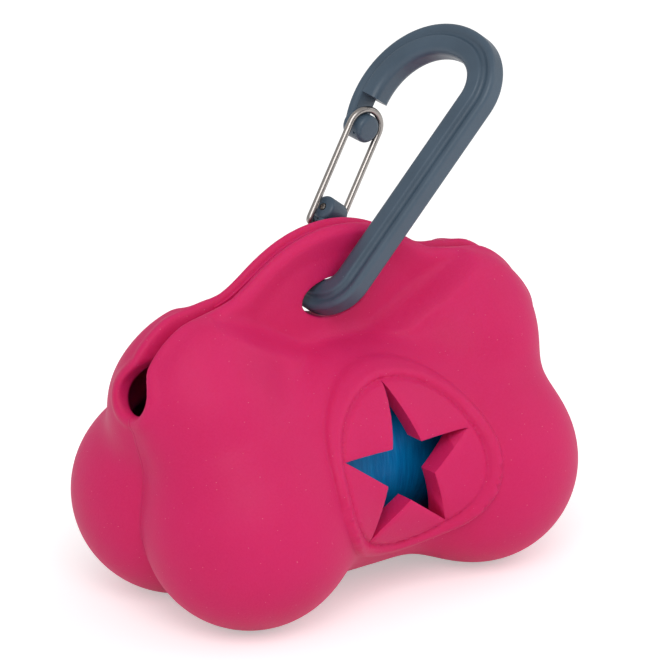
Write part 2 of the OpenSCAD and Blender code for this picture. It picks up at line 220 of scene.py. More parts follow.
# Roll of bags: height of its axis, radius, half length; then its film
ROLL = (23.6, 15.95, 30.0)
FILM_TURNS = 12.4
FILM_PITCH = 0.72
FILM_THICK = 0.66
# Angle of the film's loose edge, the part of a turn over which its creases set in, and the roll's ends
FILM_START = 2.2
FILM_LAST = 0.15
FILM_END_X = 26.0
FILM_END_RUN = 4.0

ALONG_X = (0, 90, 0)
ALONG_Y = (90, 0, 0)
ALONG_Z = (0, 0, 0)


# ---------------------------------------------------------------- helpers

def only(*objects):
    """Selects these objects alone; the last one is active."""
    bpy.ops.object.select_all(action="DESELECT")
    for one in objects:
        one.select_set(True)
    bpy.context.view_layer.objects.active = objects[-1]


def add_object(name, data):
    """Puts an object with this data into the scene."""
    made = bpy.data.objects.new(name, data)
    bpy.context.scene.collection.objects.link(made)
    return made


def placed(name):
    """Names the newest object and puts its place into its mesh."""
    made = bpy.context.active_object
    made.name = name
    made.data.name = name
    only(made)
    bpy.ops.object.transform_apply(location=True, rotation=True, scale=True)
    return made


def ball(name, centre, half, segments=48):
    """An ellipsoid with these half sizes."""
    bpy.ops.object.select_all(action="DESELECT")
    bpy.ops.mesh.primitive_uv_sphere_add(segments=segments, ring_count=segments // 2, radius=1.0,
                                         location=[c * MM for c in centre],
                                         scale=[h * MM for h in half])
    return placed(name)


def disc(name, centre, radius, depth, turn=ALONG_Y, vertices=96):
    """A round bar, along Y unless it is turned."""
    bpy.ops.object.select_all(action="DESELECT")
    bpy.ops.mesh.primitive_cylinder_add(vertices=vertices, radius=radius * MM, depth=depth * MM,
                                        location=[c * MM for c in centre],
                                        rotation=[math.radians(t) for t in turn])
    return placed(name)


def block(name, low, high):
    """A box between two corners."""
    bpy.ops.object.select_all(action="DESELECT")
    bpy.ops.mesh.primitive_cube_add(size=MM, location=[(l + h) / 2 * MM for l, h in zip(low, high)],
                                    scale=[h - l for l, h in zip(low, high)])
    return placed(name)


def sheet(name, columns, rows):
    """A flat grid of these faces, and its vertices' places from 0 to 1 along and across it."""
    bpy.ops.object.select_all(action="DESELECT")
    bpy.ops.mesh.primitive_grid_add(x_subdivisions=columns, y_subdivisions=rows, size=1.0)
    made = placed(name)
    p = points_of(made) * MM
    return made, p[:, 0] + 0.5, p[:, 1] + 0.5


def joined(name, pieces):
    """One object from several."""
    only(*pieces)
    bpy.ops.object.join()
    made = bpy.context.active_object
    made.name = name
    made.data.name = name
    return made


def finish_modifier(piece, kind, **settings):
    """Adds a modifier with these settings and applies it."""
    modifier = piece.modifiers.new(kind.lower(), kind)
    for key, value in settings.items():
        setattr(modifier, key, value)
    only(piece)
    bpy.ops.object.modifier_apply(modifier=modifier.name)


def remesh(piece, voxel):
    """Gives the piece an even mesh with faces of about this size."""
    finish_modifier(piece, "REMESH", mode="VOXEL", voxel_size=voxel * MM)


def combine(piece, other, operation):
    """Applies a boolean operation with another object, and removes that object."""
    finish_modifier(piece, "BOOLEAN", object=other, operation=operation, solver="MANIFOLD")
    bpy.data.objects.remove(other, do_unlink=True)


def cut(piece, cutter):
    """Takes the cutter's form away from the piece."""
    combine(piece, cutter, "DIFFERENCE")


def fuse(piece, other):
    """Makes another form part of the piece."""
    combine(piece, other, "UNION")


def points_of(piece):
    """The mesh's vertices in millimetres."""
    flat = np.empty(len(piece.data.vertices) * 3)
    piece.data.vertices.foreach_get("co", flat)
    return flat.reshape(-1, 3) / MM


def set_points(piece, points):
    """Moves the mesh's vertices to these places in millimetres."""
    piece.data.vertices.foreach_set("co", (points * MM).ravel())
    piece.data.update()


def face_outwards(piece, *steps):
    """Runs these steps on the whole mesh in edit mode, and turns its faces outwards."""
    only(piece)
    bpy.ops.object.mode_set(mode="EDIT")
    for step in steps:
        bpy.ops.mesh.select_all(action="SELECT")
        step()
    bpy.ops.mesh.select_all(action="SELECT")
    bpy.ops.mesh.normals_make_consistent(inside=False)
    bpy.ops.object.mode_set(mode="OBJECT")


def thickened(piece, by):
    """Makes a closed body of a flat piece, by running it along this way in metres."""
    face_outwards(piece, lambda: bpy.ops.mesh.extrude_region_move(TRANSFORM_OT_translate={"value": by}))


def unit_slab(name, columns):
    """A slab of size 1, and how far along, off the middle and up each of its vertices lies."""
    slab = sheet(name, columns, 1)[0]
    thickened(slab, (0, 0, 1.0))
    p = points_of(slab) * MM
    return slab, p[:, 0] + 0.5, p[:, 1], p[:, 2]


def smooth_shade(piece, angle):
    """Shades the piece smooth, apart from edges sharper than the angle."""
    only(piece)
    bpy.ops.object.shade_smooth_by_angle(angle=math.radians(angle))


# ---------------------------------------------------------------- pouch form
# Each form gives the distance of points p from its surface, below zero inside it, unless it says otherwise.

def smooth_step(t):
    """Rises softly from 0 to 1 as t does."""
    t = np.clip(t, 0, 1)
    return t * t * (3 - 2 * t)


def soft_min(distances, r):
    """Joins forms, with a soft blend of about this radius where they meet."""
    least = np.minimum.reduce(distances)
    return least - r * np.log(sum(np.exp(-(d - least) / r) for d in distances))


def round_max(a, b, r):
    """Where both hold, with their edge rounded by r."""
    corner = np.hypot(np.maximum(a + r, 0), np.maximum(b + r, 0))
    return np.minimum(np.maximum(a, b), -r) + corner


def lobe(p, x, y, z, r):
    """The four balls of one lobe."""
    return np.sqrt((abs(p[:, 0]) - x) ** 2 + (abs(p[:, 1]) - y) ** 2 + (p[:, 2] - z) ** 2) - r


def ellipsoid(off, half):
    """An ellipsoid with these half sizes, at points this far off its centre."""
    e = off / half
    k = np.linalg.norm(e, axis=1)
    return k * (k - 1) / np.maximum(np.linalg.norm(e / half, axis=1), 1e-4)


def bulges(p):
    """Lobes and barrel, flowing into each other."""
    barrel = ellipsoid(p - np.array([0, 0, BARREL_Z]), np.array(BARREL_HALF))
    return soft_min([lobe(p, *LOWER_LOBE), lobe(p, *UPPER_LOBE), barrel], BLEND)


def lips(p):
    """Both lips as one upright slab with a thicker rim and thick shoulders."""
    x, y, z = abs(p[:, 0]), abs(p[:, 1]), p[:, 2]
    outline = soft_min([np.hypot(x, z - HUMP[0]) - HUMP[1],
                        np.hypot(x - SHOULDER[0], z - SHOULDER[1]) - SHOULDER[2]], OUTLINE_BLEND)
    swell = np.clip(SWELL_X + SWELL_SLOPE * (z - SWELL_Z), *SWELL_LIMITS)
    web, rim, shoulder = LIP_HALF
    half = web + (rim - web) * smooth_step((outline + RIM_START) / RIM_RUN)
    half = half + (shoulder - half) * smooth_step((x - swell) / SWELL_RUN)
    return round_max(outline, y - half, LIP_ROUNDING * half)


def slit_half(x):
    """Half width of the slit, which widens towards the pouch's ends."""
    return np.interp(abs(x), SLIT_WIDENS, SLIT_HALF)


def slit_end(p):
    """The slit's open end, which is round below and closes upwards like a drop."""
    low, r, rise = DROP
    x, y, up = abs(p[:, 0]), abs(p[:, 1]), p[:, 2] - low
    half = slit_half(x)
    drop = np.where(up < 0, np.hypot(y, up) - r,
                    y - np.maximum(r * (1 - smooth_step(up / rise)), half))
    drop = np.maximum(drop, DROP_X - x)
    floor = SLIT_FLOOR + SLIT_FLOOR_RISE * smooth_step((x - SLIT_RISE_X) / SLIT_RISE_RUN)
    slit = np.maximum(y - half, floor - p[:, 2])
    return np.minimum(drop, np.maximum(slit, SLIT_WIDENS[1] - x))


def body_form(p):
    """The bulges and the lips in one, with a tight foot under the clip's hole and a soft one at the ends."""
    start, end = TAB_BLEND_X
    r = TAB_BLEND + (BLEND - TAB_BLEND) * smooth_step((abs(p[:, 0]) - start) / (end - start))
    return soft_min([bulges(p), lips(p)], r)


def tab_valley(p):
    """How deep the valley is that runs under the clip's hole, round the foot of the lips."""
    near = np.full(len(p), np.inf)
    flat = p[:, [0, 2]]
    knots = np.array(TAB_VALLEY)
    for first, last in zip(knots[:-1], knots[1:]):
        run = last - first
        t = np.clip((flat - first) @ run / (run @ run), 0, 1)
        near = np.minimum(near, np.linalg.norm(flat - first - t[:, None] * run, axis=1))
    off_lips = smooth_step((abs(p[:, 1]) - VALLEY_Y) / VALLEY_Y)
    return VALLEY_DEPTH * off_lips * np.exp(-(near / VALLEY_WIDTH) ** 2)


def furrow(p, body):
    """How far inside the soft furrow between the lips, which is wide at the surface and closes downwards."""
    down = np.clip(-body / FURROW_DEPTH, 0, 1)
    wide = np.maximum(slit_half(p[:, 0]), FURROW_LEAST) + FURROW_WIDTH * (1 - down) ** FURROW_CURVE
    past_end = FURROW_FADE * smooth_step((FURROW_END - p[:, 2]) / FURROW_FADE)
    return np.minimum(wide - abs(p[:, 1]), FURROW_DEPTH + body) - past_end


def star(p):
    """The star's outline, seen along Y. Its ten sides are alike, so one stands for all."""
    across, up = p[:, 0], p[:, 2] - STAR_Z
    angle = np.radians(np.abs((np.degrees(np.arctan2(across, up)) + 36) % 72 - 36))
    r = np.hypot(across, up)
    inner_up = STAR_INNER * math.cos(math.radians(36))
    inner_across = STAR_INNER * math.sin(math.radians(36))
    run_up = STAR_TIP - inner_up
    past = (r * np.cos(angle) - STAR_TIP) * inner_across + r * np.sin(angle) * run_up
    return past / math.hypot(inner_across, run_up)


def ridge(inward, height, place, width):
    """Height of a soft ridge at this distance inside the panel's edge."""
    return height * np.exp(-((inward - place) / width) ** 2)


def panel(p, body):
    """The star's raised panel, which follows the body with a rounded rim band."""
    x, z, w, h = PANEL
    inward = (1 - np.hypot((p[:, 0] - x) / w, (p[:, 2] - z) / h)) * 0.5 * (w + h)
    rise = PANEL_STEP + ridge(inward, *PANEL_RIM) - ridge(inward, *PANEL_CREASE)
    rise = rise - STAR_EASE * np.clip(1 - star(p) / STAR_EASE_REACH, 0, 1) ** 2
    raised = round_max(body - rise, -inward, PANEL_ROUND)
    return np.where(p[:, 1] < PANEL_Y, raised, FAR_OFF)


def skin(p):
    """The pouch's outside, with its lips, its panel and the beads round the slit's ends."""
    body = body_form(p) + tab_valley(p)
    raised = panel(p, body)
    girth = BEAD_GIRTH * smooth_step((abs(p[:, 0]) - BEAD_X) / BEAD_RUN)
    bead = np.hypot(slit_end(p) - BEAD_OUT, body + BEAD_DOWN) - girth
    body = soft_min([body, bead], BEAD_BLEND)
    body = round_max(body, furrow(p, body), FURROW_ROUND)
    return round_max(soft_min([body, raised], PANEL_BLEND), -p[:, 2], FOOT_ROUND)


def cavity(p):
    """The hollow, which reaches close behind the slit's open ends."""
    off = p - np.array(POCKET)
    off[:, 0] = abs(p[:, 0]) - POCKET[0]
    return soft_min([bulges(p) + WALL, ellipsoid(off, np.array(POCKET_HALF))], POCKET_BLEND)


def pouch(p):
    """The whole pouch, hollow and with its openings apart from the star."""
    x, z, w, h = HOLE
    hole = (1 - np.hypot((p[:, 0] - x) / w, (p[:, 2] - z) / h)) * 0.5 * (w + h)
    d = round_max(skin(p), hole, HOLE_ROUND)
    d = round_max(d, -slit_end(p), DROP_ROUND)
    return round_max(d, -cavity(p), INSIDE_ROUND)


# ---------------------------------------------------------------- pouch mesh

def settle(piece, form, rounds, step):
    """Moves each vertex straight towards the form, by at most a step in each round."""
    p = points_of(piece)
    probe = 0.02
    least_slope = 0.2
    for _ in range(rounds):
        d = form(p)
        slope = np.stack([form(p + probe * e) - form(p - probe * e) for e in np.eye(3)], axis=1) / (2 * probe)
        steep = np.maximum((slope * slope).sum(axis=1, keepdims=True), least_slope)
        p = p - np.clip(d, -step, step)[:, None] * slope / steep
    set_points(piece, p)


def rough_bulges(shrink):
    """Balls for the lobes and the barrel, for a form to settle from."""
    pieces = []
    for side_x in (-1, 1):
        for side_y in (-1, 1):
            for x, y, z, r in (LOWER_LOBE, UPPER_LOBE):
                pieces.append(ball("lobe", (side_x * x, side_y * y, z), [r - shrink] * 3))
    pieces.append(ball("barrel", (0, 0, BARREL_Z), [h - shrink for h in BARREL_HALF], segments=64))
    return pieces


def rough_body():
    """The bulges and plain lips."""
    pieces = rough_bulges(0.0)
    pieces.append(disc("hump", (0, 0, HUMP[0]), HUMP[1], 2 * LIP_HALF[1]))
    x, z, r = SHOULDER
    for side in (-1, 1):
        pieces.append(ball("shoulder", (side * x, 0, z), [r, LIP_HALF[2], r]))
    return joined("pouch", pieces)


def rough_hollow():
    """The bulges less a wall, and the pockets behind the slit's ends."""
    pieces = rough_bulges(WALL)
    x, y, z = POCKET
    for side in (-1, 1):
        pieces.append(ball("pocket", (side * x, y, z), POCKET_HALF))
    return joined("hollow", pieces)


def hole_cutter():
    """Oval bar for the clip's hole."""
    x, z, w, h = HOLE
    cutter = disc("hole", (x, 0, z), h, HOLE_CUT_DEPTH)
    p = points_of(cutter)
    p[:, 0] = x + (p[:, 0] - x) * w / h
    set_points(cutter, p)
    return cutter


def star_cutter():
    """Star that runs from in front of the panel into the hollow."""
    start, end = STAR_CUT_Y
    bpy.ops.object.select_all(action="DESELECT")
    bpy.ops.mesh.primitive_circle_add(vertices=10, radius=MM, fill_type="NGON",
                                      rotation=(math.radians(90), 0, 0))
    cutter = placed("star_cutter")
    for i, vertex in enumerate(cutter.data.vertices):
        r = STAR_TIP if i % 2 == 0 else STAR_INNER
        turn = math.radians(36 * i)
        vertex.co = Vector((r * math.sin(turn), start, STAR_Z + r * math.cos(turn))) * MM
    thickened(cutter, (0, (end - start) * MM, 0))
    return cutter


def drop_cutter(side):
    """Bar with the drop's outline, for the slit's open end on this side."""
    low, r, rise = DROP
    middle_x = side * (DROP_X + DROP_CUT_DEPTH / 2)
    cutter = disc("drop_cutter", (middle_x, 0, low), r, DROP_CUT_DEPTH, ALONG_X, 48)
    p = points_of(cutter)
    up = p[:, 2] - low
    stretch = np.where(up > 0, up / r * rise, up)
    half = r * (1 - smooth_step(stretch / rise))
    on_middle = abs(p[:, 1]) < 0.01
    p[:, 1] = np.where(on_middle, 0, np.where(up > 0, np.sign(p[:, 1]) * half, p[:, 1]))
    p[:, 2] = low + stretch
    set_points(cutter, p)
    return cutter


def slit_cutter(start, end, floor):
    """Upright slab as wide as the slit, between two places along the pouch."""
    cutter, along, across, up = unit_slab("slit_cutter", 32)
    x = start + along * (end - start)
    y = np.sign(across) * slit_half(x)
    z = np.where(up < 0.5, floor, ABOVE_POUCH)
    set_points(cutter, np.stack([x, y, z], axis=1))
    face_outwards(cutter)
    return cutter


def make_pouch():
    """Settles rough balls onto the pouch's form in ever finer meshes, and cuts its slit and star last."""
    body = rough_body()
    remesh(body, voxel=0.9)
    settle(body, body_form, rounds=8, step=1.0)
    remesh(body, voxel=0.8)
    settle(body, skin, rounds=5, step=0.8)
    hollow = rough_hollow()
    remesh(hollow, voxel=1.2)
    settle(hollow, cavity, rounds=6, step=1.0)
    cut(body, hollow)
    cut(body, hole_cutter())
    for side in (-1, 1):
        cut(body, drop_cutter(side))
        cut(body, slit_cutter(side * SLIT_WIDENS[1], side * OUTER_CUT_X, OUTER_CUT_FLOOR))
    remesh(body, voxel=0.42)
    settle(body, pouch, rounds=3, step=0.25)
    finish_modifier(body, "SMOOTH", factor=0.5, iterations=2)
    settle(body, pouch, rounds=2, step=0.25)
    triangles = len(body.data.polygons) * 2
    finish_modifier(body, "DECIMATE", ratio=min(1.0, POUCH_TRIANGLES / triangles))
    cut(body, slit_cutter(-MIDDLE_CUT_X, MIDDLE_CUT_X, SLIT_FLOOR))
    cut(body, star_cutter())
    return body


# ---------------------------------------------------------------- snap clip

def clip_place():
    """Turns the clip's own plane, with its low bend's centre at the origin, to where it leans."""
    lean = Matrix.Rotation(math.radians(CLIP_LEAN), 4, "Y")
    upright = Matrix.Rotation(math.radians(-90), 4, "Z") @ Matrix.Rotation(math.radians(90), 4, "X")
    twist = Matrix.Rotation(math.radians(CLIP_TWIST), 4, "Y")
    tilt = Matrix.Rotation(math.radians(CLIP_TILT), 4, "Z")
    return (Matrix.Translation((SWING[0], 0, SWING[1])) @ lean
            @ Matrix.Translation((0, 0, LOW_BEND_R)) @ upright @ twist @ tilt)


def on_circle(centre, r, turn):
    """Place on a circle in the clip's plane, this many degrees round."""
    turn = np.radians(turn)
    return centre[0] + r * np.cos(turn), centre[1] + r * np.sin(turn)


def clip_bends():
    """The low, top and nose bends: centre, radius, and the angles where each starts and ends."""
    origin = (0.0, 0.0)
    spine_start = on_circle(origin, LOW_BEND_R, -SPINE_FLARE)
    spine_end = on_circle(spine_start, SPINE_L, 90 - SPINE_FLARE)
    top_centre = on_circle(spine_end, -TOP_BEND_R, -SPINE_FLARE)
    nose_start = TOP_BEND_TURN - SPINE_FLARE
    nose_centre = on_circle(top_centre, TOP_BEND_R - NOSE_BEND_R, nose_start)
    return ((origin, LOW_BEND_R, 180 + GATE_SIDE_FLARE, 360 - SPINE_FLARE),
            (top_centre, TOP_BEND_R, -SPINE_FLARE, nose_start),
            (nose_centre, NOSE_BEND_R, nose_start, NOSE_END_TURN))


def rounded_slab(u, n, place, half_u, half_n, r):
    """A rounded rectangle whose middle lies at this place along u."""
    out_u, out_n = abs(u - place) - half_u + r, abs(n) - half_n + r
    return np.hypot(np.maximum(out_u, 0), np.maximum(out_n, 0)) + np.minimum(np.maximum(out_u, out_n), 0) - r


def section(u, n):
    """The bar's section: a crowned inner part and a narrower band outside it, with a groove between."""
    out, across, groove_r = GROOVE
    groove = groove_r - np.hypot(u - out, abs(n) - across)
    both = soft_min([rounded_slab(u, n, *CROWN), rounded_slab(u, n, *BAND)], SECTION_BLEND)
    return round_max(both, groove, SECTION_ROUND)


def section_outline(count):
    """Offsets outwards and across of points round the bar's section, found by halving."""
    turn = np.linspace(0, 2 * math.pi, count + 1)
    near, far = np.zeros(count + 1), np.full(count + 1, 5.0)
    for _ in range(40):
        middle = 0.5 * (near + far)
        inside = section(middle * np.cos(turn), middle * np.sin(turn)) < 0
        near, far = np.where(inside, middle, near), np.where(inside, far, middle)
    return near * np.cos(turn), near * np.sin(turn)


def bend_stations(bend, step=2.5):
    """Places along a bend with their outward directions, a step of degrees apart."""
    centre, r, start, end = bend
    turns = np.linspace(start, end, int((end - start) / step) + 1)
    return [(on_circle(centre, r, t), on_circle((0, 0), 1, t)) for t in turns]


def bent_bar(name, stations, around=120):
    """A sheet wrapped into the bar's section and run through the stations, with closed ends."""
    along = len(stations) - 1
    bar, turned, run = sheet(name, around, along)
    column = np.rint(turned * around).astype(int)
    row = np.rint(run * along).astype(int)
    u, n = section_outline(around)
    middle = np.array([s[0] for s in stations])[row]
    outwards = np.array([s[1] for s in stations])[row]
    flat = middle + u[column, None] * outwards
    set_points(bar, np.stack([flat[:, 0], flat[:, 1], n[column]], axis=1))
    face_outwards(bar, lambda: bpy.ops.mesh.remove_doubles(threshold=0.002 * MM),
                  lambda: bpy.ops.mesh.fill_holes(sides=0))
    return bar


def round_rims(piece, offset):
    """Rounds the edges of a disc's two flat ends."""
    rims = {tuple(sorted(key)) for face in piece.data.polygons if len(face.vertices) > 4
            for key in face.edge_keys}
    only(piece)
    bpy.ops.object.mode_set(mode="EDIT")
    bpy.ops.mesh.select_mode(type="EDGE")
    bpy.ops.mesh.select_all(action="DESELECT")
    bpy.ops.object.mode_set(mode="OBJECT")
    for edge in piece.data.edges:
        edge.select = tuple(sorted(edge.vertices)) in rims
    bpy.ops.object.mode_set(mode="EDIT")
    bpy.ops.mesh.bevel(offset=offset * MM, segments=5, affect="EDGES")
    bpy.ops.object.mode_set(mode="OBJECT")
    return piece


def notch_cutter():
    """What is cut off inside the nose's outer band, below the end of its full section."""
    nose_centre = clip_bends()[2][0]
    cutter = disc("notch_cutter", (*nose_centre, 0), NOSE_IN_R, THROUGH_CLIP, ALONG_Z, 160)
    past = (PAST_SIDE, PAST_TOP, PAST_FACE)
    cut(cutter, block("keep_off_nose", (-PAST_SIDE, NOSE_FULL_END, -PAST_FACE), past))
    cut(cutter, block("keep_off_spine", (NOTCH_SIDE, 0, -PAST_FACE), past))
    return cutter


def on_pin_circle(turn, further_out=0.0):
    """Where the wire's second end is when it has turned this far round the hinge."""
    across, down = SECOND_PIN[0] - HINGE[0], SECOND_PIN[1] - HINGE[1]
    at_rest = np.degrees(np.arctan2(down, across))
    return on_circle(HINGE, np.hypot(across, down) + further_out, at_rest + turn)


def cut_pin_slot(clip):
    """The short curved slot that the wire's second end slides in as the gate opens."""
    start, end = SLOT_TURN
    cutter, along, across, up = unit_slab("slot_cutter", 16)
    a, b = on_pin_circle(start + along * (end - start), 2 * SLOT_HALF * across)
    set_points(cutter, np.stack([a, b, SLOT_FLOOR + SLOT_DEPTH * up], axis=1))
    # Bending the slab this way mirrors it, so its faces point inwards, and some of the slot's faces come out
    # double. face_outwards(cutter) would mend that.
    cut(clip, cutter)
    for limit in SLOT_TURN:
        middle = (*on_pin_circle(limit), SLOT_FLOOR + SLOT_DEPTH / 2)
        cut(clip, disc("slot_end", middle, SLOT_HALF, SLOT_DEPTH, ALONG_Z, 32))


def make_clip():
    """The snap clip's frame: a grooved bar bent round, notched for the wire, with a peg and a hinge boss."""
    low, top, nose = [bend_stations(bend) for bend in clip_bends()]
    gate_side = [(GATE_SIDE_TOP, GATE_SIDE_OUT), (low[0][0], GATE_SIDE_OUT)]
    clip = bent_bar("snap_clip", gate_side + low + top + nose[1:])
    cut(clip, notch_cutter())
    cut(clip, block("tip_cutter", (-PAST_SIDE, TIP_CUT_LOW, -PAST_FACE), (TIP_CUT_SIDE, NOSE_TIP, PAST_FACE)))
    start, end = PEG_RUN
    peg = disc("clip_peg", ((end + start) / 2, PEG_HEIGHT, 0), PEG_R, end - start, ALONG_X, 64)
    fuse(clip, round_rims(peg, PEG_ROUND))
    boss = disc("clip_boss", (*HINGE, 0), BOSS_R, 2 * BOSS_HALF, ALONG_Z, 64)
    fuse(clip, round_rims(boss, BOSS_ROUND))
    cut(clip, disc("pin_hole", (*HINGE, 0), PIN_HOLE_R, THROUGH_CLIP, ALONG_Z, 32))
    cut_pin_slot(clip)
    place = clip_place()
    set_points(clip, points_of(clip) @ np.array(place.to_3x3()).T + np.array(place.translation))
    return clip


# ---------------------------------------------------------------- wire gate

def wire_route():
    """Centre line of the wire in the clip's plane, from the hinge pin round to the second pin."""
    lean = math.radians(LOOP_TWIST)
    across = np.array([-math.sin(lean), 0, math.cos(lean)])
    along = np.array([0, 1.0, 0])
    middle = np.array([*LOOP_TOP, 0])
    first_in, second_in = PIN_ENDS
    corners = [np.array([*HINGE, first_in]), np.array([*HINGE, -LEG_HALF])]
    for degree in range(180, -1, -6):
        t = math.radians(degree)
        corners.append(middle + LEG_HALF * (math.cos(t) * across + math.sin(t) * along))
    corners = np.array(corners + [np.array([*SECOND_PIN, LEG_HALF]), np.array([*SECOND_PIN, second_in])])
    run = np.concatenate([[0], np.cumsum(np.linalg.norm(np.diff(corners, axis=0), axis=1))])
    even = np.linspace(0, run[-1], int(run[-1] / WIRE_STEP))
    route = np.stack([np.interp(even, run, corners[:, k]) for k in range(3)], axis=1)
    for _ in range(WIRE_EASING):
        route[1:-1] = 0.25 * route[:-2] + 0.5 * route[1:-1] + 0.25 * route[2:]
    return route


def make_wire():
    """The gate's loop: round wire along its route, with flat ends."""
    curve = bpy.data.curves.new("wire_loop", "CURVE")
    curve.dimensions = "3D"
    curve.bevel_depth = WIRE_D / 2 * MM
    curve.bevel_resolution = 6
    curve.use_fill_caps = True
    spline = curve.splines.new("POLY")
    place = clip_place()
    route = [place @ Vector(point) * MM for point in wire_route()]
    spline.points.add(len(route) - 1)
    for knot, point in zip(spline.points, route):
        knot.co = (*point, 1)
    only(add_object("wire_loop", curve))
    bpy.ops.object.convert(target="MESH")
    return bpy.context.active_object


# ---------------------------------------------------------------- roll of bags

def loose_folds(turn, x):
    """Depth of the pleats, slanting creases and wide folds in the roll's last turn, at a turn and an x."""
    pleat = (0.5 + 0.5 * np.sin(23 * turn + 2.0 * np.sin(0.21 * x) + 0.06 * x)) ** 3
    crease = (0.5 + 0.5 * np.sin(9 * turn - 0.16 * x + 1.7 * np.sin(0.13 * x + 1.0))) ** 6
    fold = (0.5 + 0.5 * np.sin(0.9 * x + 1.3 * np.sin(2 * turn))) ** 2
    return 0.03 * pleat + 0.05 * crease + 0.12 * fold


def make_roll():
    """The film's strip wound up: a flat sheet bent into a spiral and thickened, its last turn creased."""
    axis_z, outer, half_l = ROLL
    film, along, wound = sheet("film_roll", 48, int(FILM_TURNS * 72))
    wound = wound * FILM_TURNS
    turn = 2 * math.pi * wound
    r = outer - FILM_THICK / 2 - (FILM_TURNS - wound) * FILM_PITCH
    x = (2 * along - 1) * half_l
    last = smooth_step((wound - FILM_TURNS + 1.0) / FILM_LAST)
    r = r - last * loose_folds(turn, x)
    # each turn ends a little further in or out than the one under it
    slip = 0.28 * np.sin(5.1 * np.floor(wound) + 0.4) + 0.12 * np.sin(3 * turn)
    x = x - np.sign(x) * smooth_step((abs(x) - FILM_END_X) / FILM_END_RUN) * (0.35 + slip)
    turn = turn + FILM_START
    set_points(film, np.stack([x, r * np.cos(turn), axis_z + r * np.sin(turn)], axis=1))
    finish_modifier(film, "SOLIDIFY", thickness=FILM_THICK * MM, offset=0.0)
    face_outwards(film)
    return film


# ---------------------------------------------------------------- material helpers

def srgb(r, g, b):
    """A colour given from 0 to 255 a channel, in the linear values that the shaders take."""
    return tuple(((c / 255) / 12.92 if c <= 10.3 else ((c / 255 + 0.055) / 1.055) ** 2.4)
                 for c in (r, g, b)) + (1.0,)


def node(tree, kind, **settings):
    """A new node; a setting that starts with in_ is the value of one of its inputs."""
    made = tree.nodes.new(kind)
    for key, value in settings.items():
        if key.startswith("in_"):
            made.inputs[key[3:].replace("_", " ")].default_value = value
        else:
            setattr(made, key, value)
    return made


def feed(tree, side, socket):
    """Gives the socket another node's output, or a plain value."""
    if isinstance(side, bpy.types.NodeSocket):
        tree.links.new(side, socket)
    else:
        socket.default_value = side


def number_step(tree, operation, first, second):
    """The result of a Math node on two sides, each a socket or a plain number."""
    made = node(tree, "ShaderNodeMath", operation=operation)
    feed(tree, first, made.inputs[0])
    feed(tree, second, made.inputs[1])
    return made.outputs[0]


def from_to(tree, value, low, high, start=0.0, end=1.0):
    """Maps the stretch low to high onto start to end, held at both ends."""
    made = node(tree, "ShaderNodeMapRange")
    tree.links.new(value, made.inputs["Value"])
    for name, number in (("From Min", low), ("From Max", high), ("To Min", start), ("To Max", end)):
        made.inputs[name].default_value = number
    return made.outputs["Result"]


def blend_colours(tree, amount, first, second):
    """From the first colour to the second, by an amount from 0 to 1."""
    made = node(tree, "ShaderNodeMix", data_type="RGBA")
    tree.links.new(amount, made.inputs["Factor"])
    feed(tree, first, made.inputs["A"])
    feed(tree, second, made.inputs["B"])
    return made.outputs["Result"]


def tinted(tree, base, mask, share, colour):
    """Lets another colour show where the mask is on, up to this share."""
    return blend_colours(tree, from_to(tree, mask, 0, 1, 0.0, share), base, colour)


def surface(tree, shader, base, mask, smoothest, roughest):
    """The shader's colour, and its roughness from a mask."""
    tree.links.new(base, shader.inputs["Base Color"])
    tree.links.new(from_to(tree, mask, 0, 1, smoothest, roughest), shader.inputs["Roughness"])


def new_group(name, inputs, outputs):
    """A shared group of nodes, with its ends."""
    group = bpy.data.node_groups.new(name, "ShaderNodeTree")
    for label, kind, value in inputs:
        socket = group.interface.new_socket(label, in_out="INPUT", socket_type=kind)
        if value is not None:
            socket.default_value = value
    for label, kind in outputs:
        group.interface.new_socket(label, in_out="OUTPUT", socket_type=kind)
    return group, group.nodes.new("NodeGroupInput"), group.nodes.new("NodeGroupOutput")


def dust_group():
    """Loose pale specks: few round ones and some short fibres."""
    group, given, result = new_group(
        "loose_dust",
        [("Vector", "NodeSocketVector", None), ("Specks per metre", "NodeSocketFloat", 700.0),
         ("Share", "NodeSocketFloat", 0.2)],
        [("Mask", "NodeSocketFloat")])
    round_ones = ((1, 1, 1), 0.11, 1.0)
    fibres = ((0.35, 1, 0.8), 0.1, 1.6)
    masks = []
    for stretch, size, crowding in (round_ones, fibres):
        squeeze = node(group, "ShaderNodeMapping", in_Scale=stretch, in_Rotation=(0.4, 0.7, 0.2))
        group.links.new(given.outputs["Vector"], squeeze.inputs["Vector"])
        cells = node(group, "ShaderNodeTexVoronoi", feature="F1")
        group.links.new(squeeze.outputs["Vector"], cells.inputs["Vector"])
        group.links.new(number_step(group, "MULTIPLY", given.outputs["Specks per metre"], crowding),
                        cells.inputs["Scale"])
        inside = from_to(group, cells.outputs["Distance"], size, size * 0.55)
        draw = node(group, "ShaderNodeSeparateColor")
        group.links.new(cells.outputs["Color"], draw.inputs["Color"])
        kept = number_step(group, "LESS_THAN", draw.outputs["Red"], given.outputs["Share"])
        masks.append(number_step(group, "MULTIPLY", inside, kept))
    group.links.new(number_step(group, "MAXIMUM", masks[0], masks[1]), result.inputs["Mask"])
    return group


